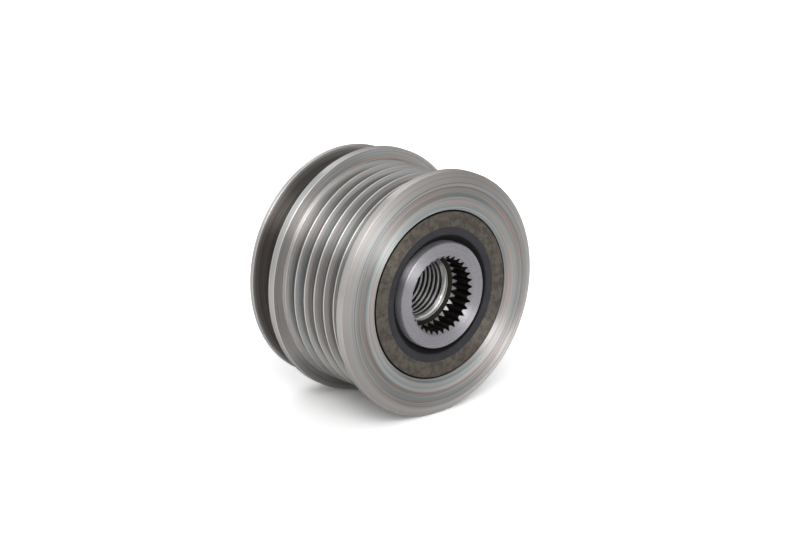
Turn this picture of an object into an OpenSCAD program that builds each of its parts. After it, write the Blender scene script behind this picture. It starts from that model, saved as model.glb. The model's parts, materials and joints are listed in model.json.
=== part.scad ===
// Overrunning belt pulley for a generator: a ribbed pulley on a roller clutch and two needle bearings.
// Every module is built along +Z, from the rear seat of the inner ring towards its serrated front,
// and is then laid down by facing(), so that the front looks along -Y.

/* [Belt face] */
// Number of belt ribs
rib_count = 6; // [5:1:8]
// Distance from one rib crest to the next
rib_pitch = 3.56; // [3.4:0.01:3.7]
// Angle between the two flanks of a groove
rib_angle = 40; // [36:1:44]
// Diameter over the rib crests
crest_d = 55.7; // [54.6:0.1:58]
// Width of the rounded top of a crest
crest_w = 0.36; // [0.2:0.02:0.5]
// Width of the bottom of a groove
root_w = 0.62; // [0.4:0.02:0.9]
// Rounding of the crests
crest_fillet = 0.2; // [0.05:0.01:0.3]
// Rounding of the groove bottoms
root_fillet = 0.3; // [0.1:0.01:0.4]
// Plain land between the last crest and the second flange
land_w = 0.75; // [0.4:0.05:1.5]

/* [Flanges] */
// Diameter of the front flange
front_rim_d = 60.8; // [59.8:0.1:63]
// Diameter of the second flange
second_rim_d = 61.2; // [59.8:0.1:63]
// Width of the front flange's rim
front_rim_w = 2.1; // [1.5:0.1:3]
// Width of the second flange's rim
second_rim_w = 2.08; // [1.5:0.1:3]
// Lean of the front flange's rear side, from rim to crest
front_lean = 0.6; // [0.2:0.05:0.9]
// Lean of the second flange's front side, from rim to crest
second_lean = 0.25; // [0.1:0.05:0.9]
// Edge rounding of the rims
rim_edge = 0.22; // [0.1:0.02:0.4]

/* [Rear disc] */
// Diameter of the rear disc
disc_d = 58.4; // [56:0.1:61]
// Width of the disc's rim
disc_rim_w = 1.12; // [0.8:0.05:1.6]
// Thickness of the disc at its foot
disc_foot_w = 2.3; // [1.8:0.1:3.2]
// Width of the wide groove between second flange and disc
relief_w = 7.6; // [5.5:0.1:9]
// Wall left between the wide groove and the seal seat
relief_wall = 1.8; // [1.3:0.1:2.6]
// Fillet at the bottom of the wide groove
relief_fillet = 1.0; // [0.5:0.1:1.6]

/* [Front face] */
// Length of the bevel between the front rim and the ridge
bevel_len = 1.65; // [1.2:0.05:2.2]
// Radial width of the flat annulus round the seal's mouth
annulus_w = 2.55; // [1.6:0.05:3]
// Width of the shallow ring channel outside the annulus
channel_w = 3.3; // [2.2:0.1:3.4]
// Depth of the ring channel
channel_depth = 0.75; // [0.3:0.05:1.0]
// Radial width of each sloping wall of the channel
channel_wall_w = 0.8; // [0.4:0.05:1.1]
// Fillet where a wall meets the channel's floor
channel_fillet = 0.6; // [0.1:0.05:1]
// Rounding of the ridge between channel and bevel
ridge_fillet = 0.7; // [0.1:0.05:1]
// How far the inner annulus lies behind the ridge
annulus_drop = 0.12; // [0:0.02:0.4]
// Bevel at the mouth of the seal seat
mouth_bevel = 0.95; // [0.5:0.05:1.2]

/* [Inner ring] */
// Diameter of the raceway
race_d = 28; // [27:0.2:30]
// Step from the raceway down to each nose
nose_step = 0.85; // [0.5:0.05:1.1]
// How far the inner ring's seat stands behind the pulley
rear_stand = 1.0; // [0.4:0.1:2]
// How far its front face stands before the pulley's ridge
front_stand = 0.15; // [0:0.05:1]
// Bevel at the outer edge of the front face
nose_bevel = 0.25; // [0.1:0.05:0.5]

/* [Serration] */
// Number of teeth in the tool socket
tooth_count = 33; // [30:1:35]
// Diameter inside the teeth
tip_d = 18.2; // [17.8:0.1:18.6]
// Depth of the tooth spaces
tooth_h = 0.78; // [0.5:0.02:0.9]
// Angle of a tooth space
tooth_angle = 60; // [50:1:66]
// Depth of the socket, to the end of its bore
socket_len = 6.75; // [5:0.05:8]
// Diameter of the shallow countersink in the front face
sink_d = 21.9; // [21.4:0.1:22.6]
// Depth of that countersink at the tooth bottoms
sink_depth = 0.22; // [0.1:0.02:0.3]
// Length of the steeper flare from there in to the teeth
flare_len = 0.7; // [0.4:0.05:1]
// Width of the bottom of a tooth space
tooth_root_w = 0.06; // [0.02:0.02:0.2]
// Length over which a tooth space runs out at its end
runout_len = 0.95; // [0.6:0.05:1.6]

/* [Shaft seat] */
// Nominal diameter of the fine thread
thread_d = 16; // [14:1:16]
// Pitch of the thread
thread_pitch = 1.5; // [1:0.25:1.5]
// Diameter of the centring bore at the rear
seat_bore_d = 17; // [16.6:0.1:17.6]
// Depth of the centring bore
seat_bore_len = 12; // [8:0.5:14]
// Bevel at its mouth
seat_bevel = 0.4; // [0.2:0.05:0.5]
// Diameter of the drilled cone above the thread
cone_d = 16.3; // [16.1:0.05:16.8]
// Length of the thread's conical entry
entry_len = 1.8; // [1:0.1:2.5]
// Slope of the drilled cone, from a plane across the axis
drill_angle = 31; // [20:1:45]
// Length of the cone from the centring bore down to the thread
seat_cone_len = 0.6; // [0.4:0.1:1.2]

/* [Clutch] */
// Number of clutch rollers
roller_count = 8; // [6:1:8]
// Diameter of a clutch roller
roller_d = 3.2; // [3.1:0.02:3.4]
// Wall of the drawn cup
cup_wall = 1.9; // [1.6:0.1:2.2]
// Offset of a ramp's arc from the main axis
ramp_offset = 5; // [4:0.1:6]
// Angle from the deep end of a ramp to its locked roller
ramp_angle = 12; // [10:0.5:14]
// Length of the clutch cage's end rings
cage_ring_w = 1.7; // [1.2:0.1:2.2]
// Thickness of the spring leaf
leaf_t = 0.16; // [0.1:0.02:0.22]
// Room for the spring along the raceway
spring_room = 2.3; // [1.8:0.1:2.8]
// How far a ramp goes on beyond its locked roller, in degrees
ramp_lead = 14; // [8:1:18]
// Free travel of a roller out of its wedge, in degrees
release_deg = 1.5; // [0.8:0.1:2]

/* [Needle bearings] */
// Number of needles in each bearing
needle_count = 14; // [10:1:15]
// Diameter of a needle
needle_d = 3; // [2.8:0.02:3.1]
// Width of each bearing
bearing_w = 7.8; // [6:0.1:8.6]
// Length of the needle cages' end rings
needle_ring_w = 0.9; // [0.6:0.1:1.3]

// Bevel at the ends of needles and clutch rollers
end_bevel = 0.15; // [0.05:0.05:0.3]

/* [Seals] */
// Step from the cup's seat out to the seal's seat
seal_step = 1.86; // [1.5:0.02:2.1]
// Width of a seal
seal_w = 3.0; // [2.4:0.1:3.4]
// How far a seal lies behind the annulus
seal_drop = 0.55; // [0.3:0.05:0.9]
// Thickness of the steel of a seal
seal_sheet = 0.9; // [0.7:0.05:1.2]
// Radial width of the visible steel
steel_face_w = 4.0; // [3.2:0.1:4.4]
// Radial width of the visible rubber
rubber_face_w = 2.05; // [1.6:0.05:2.4]
// Width of the lip's edge on the nose
lip_w = 0.4; // [0.2:0.05:0.6]
// How far the lip's edge lies behind the middle of the seal
lip_back = 0.15; // [0:0.05:0.3]
// How far the rubber reaches behind the steel
rubber_hold = 1.0; // [0.5:0.1:1.5]
// Corner rounding of steel and rubber
seal_edge = 0.35; // [0.1:0.05:0.5]
// Thickness of a stop disc
stop_t = 1.0; // [0.8:0.1:1.4]

/* [Fits] */
// Radial running clearance of rollers and needles
run_gap = 0.02; // [0.01:0.005:0.04]
// Clearance of a cage round its rollers and at its sides
cage_gap = 0.12; // [0.08:0.01:0.2]

/* [Hidden] */
// Radii, from the axis outwards
race_r = race_d / 2;
nose_r = race_r - nose_step;
thread_r = thread_d / 2;
thread_bore_r = thread_r - 0.5413 * thread_pitch;
tip_r = tip_d / 2;
tooth_root_r = tip_r + tooth_h;
pitch_r = race_r + run_gap + needle_d / 2;
cup_bore_r = pitch_r + needle_d / 2 + run_gap;
cup_r = cup_bore_r + cup_wall;
seal_r = cup_r + seal_step;
relief_r = seal_r + relief_wall;
steel_in_r = seal_r - steel_face_w;
rubber_in_r = steel_in_r - rubber_face_w;
crest_r = crest_d / 2;
front_rim_r = front_rim_d / 2;
second_rim_r = second_rim_d / 2;
disc_r = disc_d / 2;
channel_in_r = seal_r + mouth_bevel + annulus_w;
ridge_r = channel_in_r + channel_w;

// Depth of a groove between crests
groove_h = (rib_pitch - crest_w - root_w) / 2 / tan(rib_angle / 2);

// Places along the axis, from the rear seat forwards
pulley_back = rear_stand;
relief_back = pulley_back + disc_rim_w;
relief_front = relief_back + relief_w;
second_front = relief_front + second_rim_w;
land_back = second_front + second_lean;
first_crest = land_back + land_w;
flange_foot = first_crest + rib_count * rib_pitch;
front_rim_back = flange_foot + front_lean;
front_rim_front = front_rim_back + front_rim_w;
ridge_z = front_rim_front + bevel_len;
annulus_z = ridge_z - annulus_drop;
ring_len = ridge_z + front_stand;
front_seal_z = annulus_z - seal_drop;
rear_seal_z = pulley_back + seal_drop;
front_stop_z = front_seal_z - seal_w;
rear_stop_z = rear_seal_z + seal_w;
cup_front = front_stop_z - stop_t;
cup_back = rear_stop_z + stop_t;

// Clutch and bearings share the room between the two stop discs
side_gap = cage_gap / 2;
rear_bearing_z = cup_back + side_gap;
front_bearing_z = cup_front - side_gap - bearing_w;
clutch_z = rear_bearing_z + bearing_w + side_gap;
clutch_w = front_bearing_z - side_gap - clutch_z;
roller_len = clutch_w - 2 * cage_ring_w - 2 * cage_gap;
needle_len = bearing_w - 2 * needle_ring_w - 2 * cage_gap;

// A locked roller touches the raceway and the arc of its ramp
roller_r = roller_d / 2;
roller_path_r = race_r + run_gap / 2 + roller_r;
ramp_r = sqrt(pow(roller_path_r, 2) + pow(ramp_offset, 2)
    - 2 * roller_path_r * ramp_offset * cos(ramp_angle)) + roller_r + run_gap / 2;
roller_step = 360 / roller_count;
needle_step = 360 / needle_count;

// Sizes of the sheet cages between raceway and cup
cage_in_r = race_r + 3 * cage_gap;
cage_out_r = cup_bore_r - 3 * cage_gap;
needle_cage_in_r = pitch_r - 0.35 * needle_d;
needle_cage_out_r = cup_bore_r - cage_gap;

// Serration and socket
sink_r = sink_d / 2;
flare_r = tooth_root_r + 0.08;
seat_bore_r = seat_bore_d / 2;
socket_z = ring_len - socket_len;
tooth_half = tooth_h * tan(tooth_angle / 2);
cut_in_r = tip_r - 0.6;
cut_out_r = tooth_root_r + 0.1;
runout_z = socket_z + 0.05;
cone_r = cone_d / 2;
drill_len = (tip_r - cone_r) * tan(drill_angle);
thread_front = socket_z - drill_len - entry_len;

cut = 1;
zinc = [0.66, 0.67, 0.65];
ground = [0.70, 0.69, 0.72];
hardened = [0.58, 0.59, 0.61];
phosphate = [0.27, 0.24, 0.21];
rubber = [0.09, 0.09, 0.11];
polymer = [0.16, 0.22, 0.17];
spring_steel = [0.55, 0.50, 0.42];

// Two digits, so that the names sort as they are counted
function two(i) = i < 10 ? str("0", i) : str(i);
function names(stem, count) = [for (i = [1:count]) str(stem, two(i))];

ROLLERS = names("clutch_roller_", roller_count);
SPRINGS = names("clutch_spring_", roller_count);
FRONT_NEEDLES = names("front_needle_", needle_count);
REAR_NEEDLES = names("rear_needle_", needle_count);

// Lays what stands on +Z down, so that it looks along -Y
module facing() {
    rotate([90, 0, 0]) children();
}

// Turns a half profile, given as [radius, height], about the axis
module turned(profile, sides = 180) {
    rotate_extrude($fn = sides) polygon(profile);
}

// A needle or clutch roller that stands on z = 0
module rolling(r, len) {
    turned([
        [0, 0],
        [r - end_bevel, 0],
        [r, end_bevel],
        [r, len - end_bevel],
        [r - end_bevel, len],
        [0, len],
    ], 48);
}

module ring_at(z, len, inner_r, outer_r) {
    turned([[inner_r, z], [outer_r, z], [outer_r, z + len], [inner_r, z + len]]);
}

// The arc that rounds off corner p between its neighbours, made smaller where a side is short
function arc_at(p, before, after, fillet, steps) = let (
    back = (before - p) / norm(before - p),
    ahead = (after - p) / norm(after - p),
    half = acos(back * ahead) / 2,
    room = 0.48 * min(norm(before - p), norm(after - p)),
    tangent = min(room, fillet / tan(half)),
    r = tangent * tan(half),
    centre = p + (back + ahead) / norm(back + ahead) * r / sin(half),
    first = p + back * tangent - centre,
    last = p + ahead * tangent - centre,
    sweep = atan2(cross(first, last), first * last),
    from = atan2(first[1], first[0])
) [for (i = [0:steps]) let (a = from + sweep * i / steps) centre + r * [cos(a), sin(a)]];

// A closed outline from [radius, height, fillet] corners
function rounded(corners, steps = 3) = let (
    count = len(corners),
    spots = [for (c = corners) [c[0], c[1]]]
) [for (i = [0:count - 1])
    each corners[i][2] == 0
        ? [spots[i]]
        : arc_at(spots[i], spots[(i + count - 1) % count], spots[(i + 1) % count], corners[i][2], steps)];

// One groove of the belt face, from the crest behind it to the crest before it
function groove(z) = [
    [crest_r, z + crest_w / 2, crest_fillet],
    [crest_r - groove_h, z + (rib_pitch - root_w) / 2, root_fillet],
    [crest_r - groove_h, z + (rib_pitch + root_w) / 2, root_fillet],
    [crest_r, z + rib_pitch - crest_w / 2, crest_fillet],
];

// Rear disc and wide groove, from the rear bore outwards and forwards
disc_outline = [
    [seal_r, pulley_back + mouth_bevel / 2, 0],
    [seal_r + mouth_bevel / 2, pulley_back, 0],
    [disc_r, pulley_back, rim_edge],
    [disc_r, relief_back, rim_edge],
    [relief_r, pulley_back + disc_foot_w, relief_fillet],
    [relief_r, relief_front, relief_fillet],
];

// Second flange, ribs and front flange
belt_outline = [
    [second_rim_r, relief_front, rim_edge],
    [second_rim_r, second_front, rim_edge],
    [crest_r, land_back, 0],
    for (i = [0:rib_count - 1]) each groove(first_crest + i * rib_pitch),
    [front_rim_r, front_rim_back, rim_edge],
    [front_rim_r, front_rim_front, rim_edge],
];

// Ridge, ring channel, annulus and the mouth of the seal seat
channel_z = ridge_z - channel_depth;
face_outline = [
    [ridge_r, ridge_z, ridge_fillet],
    [ridge_r - channel_wall_w, channel_z, channel_fillet],
    [channel_in_r + channel_wall_w, channel_z, channel_fillet],
    [channel_in_r, annulus_z, rim_edge],
    [seal_r + mouth_bevel, annulus_z, 0],
    [seal_r, annulus_z - mouth_bevel, 0],
];

// The stepped bore: front seal seat, cup seat, rear seal seat
bore_outline = [
    [seal_r, cup_front, 0],
    [cup_r, cup_front, 0],
    [cup_r, cup_back, 0],
    [seal_r, cup_back, 0],
];

module pulley_ring() {
    color(zinc) facing()
        turned(rounded(concat(disc_outline, belt_outline, face_outline, bore_outline)));
}

// Outer form of the inner ring, and its stepped bore
function ring_outline() = [
    [seat_bore_r + seat_bevel, 0],
    [nose_r - nose_bevel, 0],
    [nose_r, nose_bevel],
    [nose_r, cup_back + side_gap],
    [race_r, cup_back + side_gap],
    [race_r, cup_front - side_gap],
    [nose_r, cup_front - side_gap],
    [nose_r, ring_len - nose_bevel],
    [nose_r - nose_bevel, ring_len],
    [sink_r, ring_len],
    [flare_r, ring_len - sink_depth],
    [tip_r, ring_len - sink_depth - flare_len],
    [tip_r, socket_z],
    [cone_r, socket_z - drill_len],
    [thread_bore_r, thread_front],
    [thread_bore_r, seat_bore_len + seat_cone_len],
    [seat_bore_r, seat_bore_len],
    [seat_bore_r, seat_bevel],
];

// A tooth space is a sharp groove, seen along the axis
module tooth_space() {
    slope = tooth_half / tooth_h;
    half = tooth_half + (tip_r - cut_in_r) * slope;
    linear_extrude(height = socket_len + cut) polygon([
        [cut_in_r, -half],
        [tooth_root_r, -tooth_root_w / 2],
        [tooth_root_r, tooth_root_w / 2],
        [cut_in_r, half],
    ]);
}

// The spaces end on a cone, where the pressing tool was bevelled
module serration_cut() {
    intersection() {
        for (i = [0:tooth_count - 1])
            rotate([0, 0, i * 360 / tooth_count]) translate([0, 0, socket_z]) tooth_space();
        turned([
            [cut_in_r, runout_z],
            [tip_r, runout_z],
            [cut_out_r, runout_z + runout_len],
            [cut_out_r, ring_len + cut],
            [cut_in_r, ring_len + cut],
        ]);
    }
}

module inner_ring() {
    color(ground) facing() difference() {
        turned(ring_outline());
        serration_cut();
    }
}

// A ramp is an arc set off the axis, kept to the side where the roller climbs
module ramp(angle) {
    back = -asin(min(0.9, (roller_r + spring_room) / roller_path_r)) / 3;
    ahead = ramp_angle + ramp_lead;
    near = cup_bore_r - cup_wall;
    far = cup_r + cup_wall;
    rotate([0, 0, angle - ramp_angle]) translate([0, 0, clutch_z + cage_ring_w])
        linear_extrude(height = clutch_w - 2 * cage_ring_w) intersection() {
            translate([ramp_offset, 0]) circle(r = ramp_r, $fn = 180);
            polygon([
                [near, near * tan(back)],
                [far, far * tan(back)],
                [far, far * tan(ahead)],
                [near, near * tan(ahead)],
            ]);
        }
}

module clutch_cup() {
    color(hardened) facing() difference() {
        ring_at(cup_back, cup_front - cup_back, cup_bore_r, cup_r);
        for (i = [0:roller_count - 1]) ramp(i * roller_step);
    }
}

// Half the room of a roller in its cage, along the raceway
window_half = roller_r + cage_gap;
release_travel = roller_path_r * PI * release_deg / 180;

module roller_window(angle) {
    back = window_half + release_travel + spring_room;
    rotate([0, 0, angle])
        translate([cage_in_r - cut, -back, clutch_z + cage_ring_w])
        cube([cage_out_r - cage_in_r + 3 * cut, back + window_half, clutch_w - 2 * cage_ring_w]);
}

module clutch_cage() {
    color(polymer) facing() difference() {
        union() {
            ring_at(clutch_z, clutch_w, cage_in_r, cage_out_r);
            ring_at(clutch_z, cage_ring_w, cage_in_r, cup_bore_r);
            ring_at(clutch_z + clutch_w - cage_ring_w, cage_ring_w, cage_in_r, cup_bore_r);
        }
        for (i = [0:roller_count - 1]) roller_window(i * roller_step);
    }
}

module clutch_roller(i) {
    color(ground) facing()
        rotate([0, 0, i * roller_step])
        translate([roller_path_r, 0, clutch_z + cage_ring_w + cage_gap])
        rolling(roller_r, roller_len);
}

// A flat strip bent along a line of points, round at each bend
module strip(line, t) {
    for (k = [0:len(line) - 2]) {
        leg = line[k + 1] - line[k];
        translate(line[k]) rotate([0, 0, atan2(leg[1], leg[0])])
            translate([0, -t / 2]) square([norm(leg), t]);
    }
    for (p = line) translate(p) circle(r = t / 2, $fn = 16);
}

// A leaf folded like a concertina, with a flat pad on the cage bar and another on the roller
module clutch_spring(i) {
    folds = 4;
    reach = (cage_out_r - cage_in_r) / 2 - cage_gap;
    foot = -window_half - release_travel - spring_room + leaf_t / 2;
    tip = -roller_r - run_gap - leaf_t / 2;
    bends = [for (k = [0:folds]) [k % 2 == 0 ? -reach : reach, foot + (tip - foot) * k / folds]];
    color(spring_steel) facing()
        rotate([0, 0, i * roller_step])
        translate([(cage_in_r + cage_out_r) / 2, 0, clutch_z + cage_ring_w + 2 * cage_gap])
        linear_extrude(height = roller_len - 2 * cage_gap)
        strip(concat([[reach, foot]], bends, [[reach, tip]]), leaf_t);
}

module needle_cage(z) {
    window_w = needle_d + 2 * cage_gap;
    window_len = bearing_w - 2 * needle_ring_w;
    difference() {
        ring_at(z, bearing_w, needle_cage_in_r, needle_cage_out_r);
        for (i = [0:needle_count - 1])
            rotate([0, 0, i * needle_step])
            translate([needle_cage_in_r - cut, -window_w / 2, z + needle_ring_w])
            cube([needle_cage_out_r - needle_cage_in_r + 2 * cut, window_w, window_len]);
    }
}

module front_needle_cage() {
    color(hardened) facing() needle_cage(front_bearing_z);
}

module rear_needle_cage() {
    color(hardened) facing() needle_cage(rear_bearing_z);
}

module needle(i, z) {
    color(ground) facing()
        rotate([0, 0, i * needle_step])
        translate([pitch_r, 0, z + needle_ring_w + cage_gap])
        rolling(needle_d / 2, needle_len);
}

// The discs keep the raceway's ends between them
module stop_disc(z) {
    ring_at(z, stop_t, nose_r + 2 * cage_gap, seal_r);
}

module front_stop_disc() {
    color(hardened) facing() stop_disc(cup_front);
}

module rear_stop_disc() {
    color(hardened) facing() stop_disc(cup_back - stop_t);
}

// Half sections of a seal, from its inner side at 0 to its visible face at seal_w
seal_steel = [
    [seal_r - seal_sheet, 0, 0],
    [seal_r, 0, 0],
    [seal_r, seal_w, seal_edge],
    [steel_in_r, seal_w, 0],
    [steel_in_r, seal_w - seal_sheet, 0],
    [seal_r - seal_sheet, seal_w - seal_sheet, 0],
];

lip_front = seal_w / 2 - lip_back;
seal_rubber = [
    [steel_in_r, seal_w - seal_sheet, 0],
    [steel_in_r, seal_w, 0],
    [rubber_in_r, seal_w, seal_edge],
    [nose_r + lip_w, seal_w / 2, 0],
    [nose_r + run_gap, lip_front, 0],
    [nose_r + run_gap, lip_front - lip_w, 0],
    [rubber_in_r, lip_front - 2 * lip_w, 0],
    [rubber_in_r + rubber_hold / 2, rubber_hold / 2, 0],
    [steel_in_r + rubber_hold, rubber_hold / 2, 0],
    [steel_in_r + rubber_hold, seal_w - seal_sheet, 0],
];

module at_front_seal() {
    facing() translate([0, 0, front_seal_z - seal_w]) children();
}

module at_rear_seal() {
    facing() translate([0, 0, rear_seal_z + seal_w]) mirror([0, 0, 1]) children();
}

module front_seal_ring() {
    color(phosphate) at_front_seal() turned(rounded(seal_steel));
}

module front_seal_lip() {
    color(rubber) at_front_seal() turned(rounded(seal_rubber));
}

module rear_seal_ring() {
    color(phosphate) at_rear_seal() turned(rounded(seal_steel));
}

module rear_seal_lip() {
    color(rubber) at_rear_seal() turned(rounded(seal_rubber));
}

pulley_ring();
inner_ring();
clutch_cup();
clutch_cage();
front_needle_cage();
rear_needle_cage();
front_stop_disc();
rear_stop_disc();
front_seal_ring();
front_seal_lip();
rear_seal_ring();
rear_seal_lip();
for (i = [0:roller_count - 1]) {
    clutch_roller(i);
    clutch_spring(i);
}
for (i = [0:needle_count - 1]) {
    needle(i, front_bearing_z);
    needle(i, rear_bearing_z);
}
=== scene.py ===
import json
import math

import bmesh
import bpy
import numpy as np
from mathutils import Matrix, Vector

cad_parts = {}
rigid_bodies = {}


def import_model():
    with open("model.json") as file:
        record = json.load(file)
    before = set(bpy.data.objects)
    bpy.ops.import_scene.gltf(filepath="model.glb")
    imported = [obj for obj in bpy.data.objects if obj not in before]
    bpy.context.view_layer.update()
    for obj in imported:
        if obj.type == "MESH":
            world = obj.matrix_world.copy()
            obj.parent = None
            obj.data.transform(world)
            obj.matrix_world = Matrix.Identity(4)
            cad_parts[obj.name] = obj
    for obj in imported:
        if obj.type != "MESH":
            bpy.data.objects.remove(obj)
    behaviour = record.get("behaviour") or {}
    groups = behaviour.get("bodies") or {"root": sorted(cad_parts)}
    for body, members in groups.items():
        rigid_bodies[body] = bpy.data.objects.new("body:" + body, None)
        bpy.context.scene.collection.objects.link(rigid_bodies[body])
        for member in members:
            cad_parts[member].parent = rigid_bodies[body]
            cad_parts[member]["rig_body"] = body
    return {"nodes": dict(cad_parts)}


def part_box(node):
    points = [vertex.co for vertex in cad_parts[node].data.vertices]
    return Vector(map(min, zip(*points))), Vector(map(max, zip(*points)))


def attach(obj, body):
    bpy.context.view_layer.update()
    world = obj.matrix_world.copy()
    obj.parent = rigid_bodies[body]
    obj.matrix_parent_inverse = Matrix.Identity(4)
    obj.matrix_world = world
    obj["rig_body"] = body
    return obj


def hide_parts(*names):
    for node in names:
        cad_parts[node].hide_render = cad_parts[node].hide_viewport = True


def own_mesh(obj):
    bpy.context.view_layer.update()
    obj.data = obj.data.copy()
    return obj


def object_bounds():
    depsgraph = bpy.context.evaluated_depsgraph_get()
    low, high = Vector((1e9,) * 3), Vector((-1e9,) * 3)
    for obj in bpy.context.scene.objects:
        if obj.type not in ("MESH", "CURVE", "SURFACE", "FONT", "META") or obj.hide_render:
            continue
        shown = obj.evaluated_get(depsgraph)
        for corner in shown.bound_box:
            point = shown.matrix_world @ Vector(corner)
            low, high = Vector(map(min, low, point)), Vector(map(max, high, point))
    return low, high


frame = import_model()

bl_info = {
    "name": "Overrunning belt pulley",
    "version": (1, 0, 0),
    "blender": (4, 5, 0),
    "location": "3D View > Sidebar > Pulley",
    "description": "Dresses the packed model of an overrunning belt pulley",
    "category": "Object",
}

NODES = frame["nodes"]
CAD_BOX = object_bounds()

# Pieces are turned about their own Z and laid down so that this Z looks along -Y
LAID = Matrix.Rotation(math.radians(90), 4, "X")

# Degrees by which a clutch roller gives way, and how many times as far its spring would shorten; the shortening is
# worked out but not applied
RELEASE_ANGLE = 1.5
RELEASE_ROOM = 1.12

# Flats round a turned piece, and the largest angle in degrees over which its facets are shaded as one
TURNED_SEGMENTS = 360
BELT_RING_SEGMENTS = 350
SMOOTH_ANGLE = 32
TOOTH_SMOOTH_ANGLE = 25

# Places of the inner ring's materials
GROUND, PRESSED, CUT, OILED = range(4)

# Share of a turn that makes the turning marks scatter light across themselves
ACROSS_MARKS = 0.25


def mm(value):
    return value / 1000


SEAT_FILLET = mm(0.05)


def reach(node):
    """Outer radius of a node, and where it starts and ends along the axis from the rear seat forwards."""
    low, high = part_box(node)
    return high.x, -high.y, -low.y


SEAL_R, SEAL_START, SEAL_END = reach("front_seal_ring")
_, _, REAR_SEAL_END = reach("rear_seal_ring")
CUP_R, CUP_BACK, CUP_FRONT = reach("clutch_cup")
RACE_R, _, RING_FRONT = reach("inner_ring")
RIM_R, PULLEY_BACK, _ = reach("pulley_ring")


def length(name, description, default):
    return bpy.props.FloatProperty(
        name=name, description=description, default=default, unit="LENGTH", subtype="DISTANCE", precision=5)


def angle(name, description, degrees):
    return bpy.props.FloatProperty(
        name=name, description=description, default=math.radians(degrees), unit="ROTATION", subtype="ANGLE")


def share(name, description, default):
    return bpy.props.FloatProperty(
        name=name, description=description, default=default, min=0, max=1, subtype="FACTOR")


def brightness(name, description, default, least=0):
    return bpy.props.FloatProperty(name=name, description=description, default=default, min=least)


def colour(name, description, default):
    return bpy.props.FloatVectorProperty(
        name=name, description=description, default=default, min=0, max=1, size=3, subtype="COLOR")


class BeltRingSizes(bpy.types.PropertyGroup):
    rib_count: bpy.props.IntProperty(name="Ribs", description="Number of belt ribs", default=6, min=5, max=8)
    rib_pitch: length("Rib pitch", "Distance from one rib crest to the next", mm(3.56))
    rib_angle: angle("Groove angle", "Angle between the two flanks of a groove", 40)
    crest_r: length("Crest radius", "Radius over the rib crests", mm(27.85))
    crest_w: length("Crest width", "Width of the top of a crest", mm(0.36))
    root_w: length("Root width", "Width of the bottom of a groove", mm(0.62))
    crest_fillet: length("Crest rounding", "Rounding of the rib crests", mm(0.2))
    root_fillet: length("Root rounding", "Rounding of the groove bottoms", mm(0.3))
    land_w: length("Land", "Plain land between the last crest and the second flange", mm(0.75))
    front_rim_r: length("Front flange radius", "Radius of the front flange", mm(30.4))
    front_rim_w: length("Front rim width", "Width of the front flange's rim", mm(2.1))
    front_lean: length("Front lean", "Lean of the front flange's rear side", mm(0.6))
    second_rim_w: length("Second rim width", "Width of the second flange's rim", mm(2.08))
    second_lean: length("Second lean", "Lean of the second flange's front side", mm(0.25))
    rim_edge: length("Rim edge", "Edge rounding of the rims", mm(0.22))
    disc_r: length("Disc radius", "Radius of the rear disc", mm(29.2))
    disc_rim_w: length("Disc rim width", "Width of the disc's rim", mm(1.12))
    disc_foot_w: length("Disc foot", "Thickness of the disc at its foot", mm(2.3))
    relief_r: length("Wide groove radius", "Radius at the bottom of the wide groove", mm(22.6))
    relief_w: length("Wide groove width", "Width of the wide groove", mm(7.6))
    relief_fillet: length("Wide groove fillet", "Fillet at the bottom of the wide groove", mm(1.0))
    bevel_len: length("Bevel", "Length of the bevel between the front rim and the ridge", mm(1.65))
    ridge_fillet: length("Ridge rounding", "Rounding of the ridge between channel and bevel", mm(0.7))
    annulus_w: length("Annulus", "Radial width of the flat annulus round the seal's mouth", mm(2.55))
    channel_w: length("Ring channel", "Width of the shallow ring channel", mm(3.3))
    channel_depth: length("Channel depth", "Depth of the ring channel", mm(0.75))
    channel_wall_w: length("Channel walls", "Radial width of each sloping wall of the channel", mm(0.8))
    channel_fillet: length("Channel fillet", "Fillet where a wall meets the channel's floor", mm(0.6))
    annulus_drop: length("Annulus drop", "How far the annulus lies behind the ridge", mm(0.12))
    mouth_bevel: length("Mouth bevel", "Bevel at the mouth of the seal seat", mm(0.95))


class InnerRingSizes(bpy.types.PropertyGroup):
    nose_step: length("Nose step", "Step from the raceway down to each nose", mm(0.85))
    nose_bevel: length("Nose bevel", "Bevel at the edge of the end faces", mm(0.25))
    side_gap: length("Side gap", "Gap between the raceway's ends and the stop discs", mm(0.06))
    tooth_count: bpy.props.IntProperty(name="Teeth", description="Teeth of the tool socket", default=33, min=30, max=35)
    tip_r: length("Tip radius", "Radius inside the teeth", mm(9.1))
    tooth_h: length("Tooth depth", "Depth of the tooth spaces", mm(0.78))
    tooth_angle: angle("Tooth angle", "Angle of a tooth space", 74)
    socket_len: length("Socket depth", "Depth of the socket to the end of its bore", mm(6.75))
    sink_r: length("Countersink radius", "Radius of the shallow countersink", mm(10.95))
    sink_depth: length("Countersink depth", "Depth of the countersink at the tooth bottoms", mm(0.22))
    thread_r: length("Thread radius", "Nominal radius of the thread", mm(8))
    thread_pitch: length("Thread pitch", "Pitch of the thread", mm(1.5))
    entry_r: length("Entry radius", "Radius at the foot of the drilled cone", mm(8.15))
    entry_len: length("Entry length", "Length of the thread's conical entry", mm(1.8))
    drill_angle: angle("Drill angle", "Slope of the drilled cone", 31)
    seat_bore_r: length("Seat radius", "Radius of the centring bore", mm(8.5))
    seat_bore_len: length("Seat depth", "Depth of the centring bore", mm(12))
    seat_bevel: length("Seat bevel", "Bevel at the mouth of the centring bore", mm(0.4))


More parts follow.
